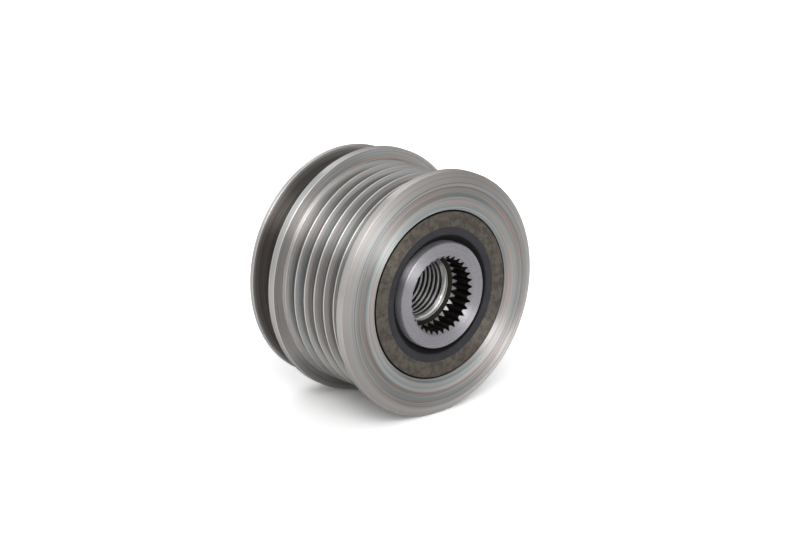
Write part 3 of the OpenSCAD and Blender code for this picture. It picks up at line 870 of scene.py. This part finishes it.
class PULLEY_OT_inner_ring(bpy.types.Operator):
    """Ground ring with the tool serration, the conical entry and the cut thread"""
    bl_idname = "pulley.inner_ring"
    bl_label = "Inner ring"

    def execute(self, context):
        s, colours = context.scene.inner_ring, context.scene.pulley_colours
        angles, teeth = tooth_columns(s)
        closed = np.append(angles, 2 * math.pi)
        socket_z = RING_FRONT - s.socket_len
        entry_z = socket_z - (s.tip_r - s.entry_r) * math.tan(s.drill_angle)
        outside = inner_ring_rows(s, angles, teeth, socket_z, entry_z)
        helix = thread_rows(s, closed, s.seat_bore_len, entry_z)
        seat = seat_rows(s, angles) + outside[:1]
        vertices, faces, slots, base = [], [], [], 0
        for rows, around, wrap in ((outside, angles, True), (helix, closed, False), (seat, angles, True)):
            quads = grid_faces(len(rows), len(around), False, wrap)
            per_row = len(quads) // (len(rows) - 1)
            vertices.append(grid_of(rows, around))
            faces.append(quads + base)
            slots += [material for _, _, material in rows[1:] for _ in range(per_row)]
            base += len(rows) * len(around)
        materials = [ground_finish(colours), pressed_finish(colours),
                     thread_finish(colours, entry_z - s.entry_len), cone_finish(colours)]
        piece = built("inner_ring_serrated", np.concatenate(vertices), np.concatenate(faces), materials,
                      TOOTH_SMOOTH_ANGLE, slots)
        place_piece(piece, "inner_ring")
        return {"FINISHED"}


class PULLEY_OT_seals(bpy.types.Operator):
    """Phosphated steel ring and rubber lip of the front and the rear seal"""
    bl_idname = "pulley.seals"
    bl_label = "Seals"

    def execute(self, context):
        s, colours = context.scene.seals, context.scene.pulley_colours
        nose_r = RACE_R - context.scene.inner_ring.nose_step
        steel_in = SEAL_R - s.steel_face_w
        steel, rubber = phosphate_finish(colours), rubber_finish(colours, steel_in - s.rubber_face_w)
        steel_outline, rubber_outline = seal_steel_outline(s), seal_rubber_outline(s, nose_r)

        def ragged(outline):
            inner = [abs(radius - steel_in) < mm(0.1) for radius, _ in outline]

            def shift(k, angles):
                waves = np.sin(angles * 47 + 1.3) * np.sin(angles * 19) + 0.6 * np.sin(angles * 83 + 0.4)
                return waves * s.ragged / 2 if inner[k] else 0.0
            return shift

        for side, seat, sense in (("front", SEAL_START, 1), ("rear", REAR_SEAL_END, -1)):
            for part, outline, material, slot in (
                    ("ring", steel_outline, steel, "phosphated_steel"), ("lip", rubber_outline, rubber, "seal_rubber")):
                placed = [(radius, seat + sense * height) for radius, height in outline]
                piece = turned(f"{side}_seal_{part}_turned", placed, [material], wobble=ragged(outline))
                place_piece(piece, f"{side}_seal_{part}")
        return {"FINISHED"}


class PULLEY_OT_clutch(bpy.types.Operator):
    """Finish of the clutch cup, its cage, the clutch rollers and their springs"""
    bl_idname = "pulley.clutch"
    bl_label = "Clutch"

    def execute(self, context):
        colours = context.scene.pulley_colours
        paint(["clutch_cup"], sheet_finish(colours, "hardened_cup", 1.0))
        paint(["clutch_cage"], polymer_finish(colours))
        paint([name for name in NODES if name.startswith("clutch_roller")], rolling_finish(colours))
        leaf = spring_finish(colours)
        for node in sorted(name for name in NODES if name.startswith("clutch_spring")):
            spring_leaf(node, node.replace("spring", "roller"), leaf)
        return {"FINISHED"}


class PULLEY_OT_bearings(bpy.types.Operator):
    """Finish of the needles, their cages and the stop discs"""
    bl_idname = "pulley.bearings"
    bl_label = "Bearings"

    def execute(self, context):
        colours = context.scene.pulley_colours
        paint(["front_needle_cage", "rear_needle_cage"], sheet_finish(colours, "stamped_needle_cage", 1.1))
        paint(["front_stop_disc", "rear_stop_disc"], sheet_finish(colours, "hardened_stop_disc", 0.9))
        paint([name for name in NODES if "_needle_" in name and name[-1].isdigit()], rolling_finish(colours))
        return {"FINISHED"}


def softbox(name, direction, distance, width, height, radiance):
    """Area lamp that faces the object, given by the brightness of its face."""
    lamp = bpy.data.lights.new(name, "AREA")
    lamp.shape = "RECTANGLE"
    lamp.size, lamp.size_y = width, height
    lamp.energy = radiance * math.pi * width * height
    holder = bpy.data.objects.new(name, lamp)
    bpy.context.scene.collection.objects.link(holder)
    away = Vector(direction).normalized()
    holder.location = away * distance
    holder.rotation_euler = (-away).to_track_quat("-Z", "Y").to_euler()


def make_camera():
    """Long lens in front, to the left and above, measured from the flange ellipses of the photograph."""
    azimuth, elevation = math.radians(-41.32), math.radians(18.43)
    distance, aim_right, aim_up = mm(886.6), mm(9.68), mm(-0.18)
    middle = Vector((0, mm(-8.36), 0))
    back = Vector((math.sin(azimuth) * math.cos(elevation), -math.cos(azimuth) * math.cos(elevation),
                   math.sin(elevation)))
    right = Vector((math.cos(azimuth), math.sin(azimuth), 0))
    up = back.cross(right)
    lens = bpy.data.cameras.new("camera")
    lens.lens, lens.sensor_width, lens.sensor_fit = 162, 36, "HORIZONTAL"
    lens.clip_start, lens.clip_end = 0.05, 20
    camera = bpy.data.objects.new("camera", lens)
    bpy.context.scene.collection.objects.link(camera)
    turn = Matrix((right, up, back)).transposed().to_4x4()
    camera.matrix_world = Matrix.Translation(middle + back * distance + right * aim_right + up * aim_up) @ turn
    bpy.context.scene.camera = camera


# Dark panels of the room: direction, half angles in degrees of the full and of the fading part, change in brightness
PANELS = (
    ((0.75, 0.15, 0.7), 15, 50, -0.3),
    ((0.9, 0.35, 0.1), 20, 60, -0.7),
)


def make_world(stage):
    """White behind the object, a dome of even light, and the room with its dark panels where metal shows it."""
    world = bpy.data.worlds.new("studio")
    bpy.context.scene.world = world
    world.use_nodes = True
    dome = Nodes(world.node_tree)
    direction = dome.node("ShaderNodeTexCoord", {}, output="Generated")
    room = stage.room_light
    for aim, full, faded, gain in PANELS:
        facing = dome.node("ShaderNodeVectorMath", {"operation": "DOT_PRODUCT"},
                           direction, Vector(aim).normalized(), output="Value")
        room = facing.step(math.cos(math.radians(faded)), math.cos(math.radians(full))) * gain + room
    strength = stage.dome_light + (room - stage.dome_light) * dome.seen("Is Glossy Ray", "Is Transmission Ray")
    strength = strength + (1.0 - strength) * dome.seen("Is Camera Ray")
    light = dome.node("ShaderNodeBackground", {}, Color=(1.0, 1.0, 1.0, 1.0), Strength=strength)
    dome.node("ShaderNodeOutputWorld", {}, light, output=None)


# Direction, distance, width and height of each softbox
SOFTBOXES = {
    "key": ((-0.5, -0.62, 0.6), 1.25, 0.75, 0.6),
    "low": ((0.16, -0.97, 0.13), 1.25, 0.45, 0.34),
    "left": ((-0.4, -0.3, 0.85), 1.4, 1.4, 1.2),
    "top": ((0.6, 0.68, 0.45), 1.3, 1.2, 1.2),
}


class PULLEY_OT_stage(bpy.types.Operator):
    """Camera, plain floor, soft studio light and pale surroundings"""
    bl_idname = "pulley.stage"
    bl_label = "Stage"

    def execute(self, context):
        scene, stage = context.scene, context.scene.stage_light
        scene.view_settings.view_transform = "Standard"
        make_camera()
        make_world(stage)
        low, _ = CAD_BOX
        span = 4.0
        mesh = bpy.data.meshes.new("floor")
        corners = [(-span, -span, low.z), (span, -span, low.z), (span, span, low.z), (-span, span, low.z)]
        mesh.from_pydata(corners, [], [(0, 1, 2, 3)])
        floor = bpy.data.objects.new("floor", mesh)
        scene.collection.objects.link(floor)
        pale = bpy.data.materials.new("pale_floor")
        pale.use_nodes = True
        nodes = Nodes(pale.node_tree)
        tone = Vector(scene.pulley_colours.floor)
        mirrored = nodes.mix(nodes.seen("Is Glossy Ray", "Is Transmission Ray"),
                             tone, tone * stage.floor_mirrored)
        seen = nodes.mix(nodes.seen("Is Camera Ray"), mirrored, tone * stage.floor_seen)
        nodes.node("ShaderNodeOutputMaterial", {}, nodes.node("ShaderNodeBsdfDiffuse", {}, seen), output=None)
        mesh.materials.append(pale)
        for name, place in SOFTBOXES.items():
            softbox(f"{name}_softbox", *place, getattr(stage, f"{name}_light"))
        return {"FINISHED"}


class PULLEY_PT_panel(bpy.types.Panel):
    """Operators, sizes and colours of the belt pulley"""
    bl_idname = "PULLEY_PT_panel"
    bl_label = "Overrunning belt pulley"
    bl_space_type = "VIEW_3D"
    bl_region_type = "UI"
    bl_category = "Pulley"

    def draw(self, context):
        for operator in OPERATORS:
            self.layout.operator(operator.bl_idname)
        for key in GROUPS:
            box = self.layout.box()
            group = getattr(context.scene, key)
            for name in group.__annotations__:
                box.prop(group, name)


GROUPS = {
    "belt_ring": BeltRingSizes,
    "inner_ring": InnerRingSizes,
    "seals": SealSizes,
    "stage_light": StageLight,
    "pulley_colours": PulleyColours,
}
OPERATORS = [
    PULLEY_OT_stage, PULLEY_OT_belt_ring, PULLEY_OT_inner_ring, PULLEY_OT_seals, PULLEY_OT_clutch,
    PULLEY_OT_bearings,
]


def register():
    for made in (*GROUPS.values(), *OPERATORS, PULLEY_PT_panel):
        bpy.utils.register_class(made)
    for key, group in GROUPS.items():
        setattr(bpy.types.Scene, key, bpy.props.PointerProperty(type=group))


def unregister():
    for key in GROUPS:
        delattr(bpy.types.Scene, key)
    for made in reversed((*GROUPS.values(), *OPERATORS, PULLEY_PT_panel)):
        bpy.utils.unregister_class(made)


def main():
    register()
    for operator in OPERATORS:
        getattr(bpy.ops.pulley, operator.bl_idname.split(".")[1])()


if __name__ == "__main__":
    main()
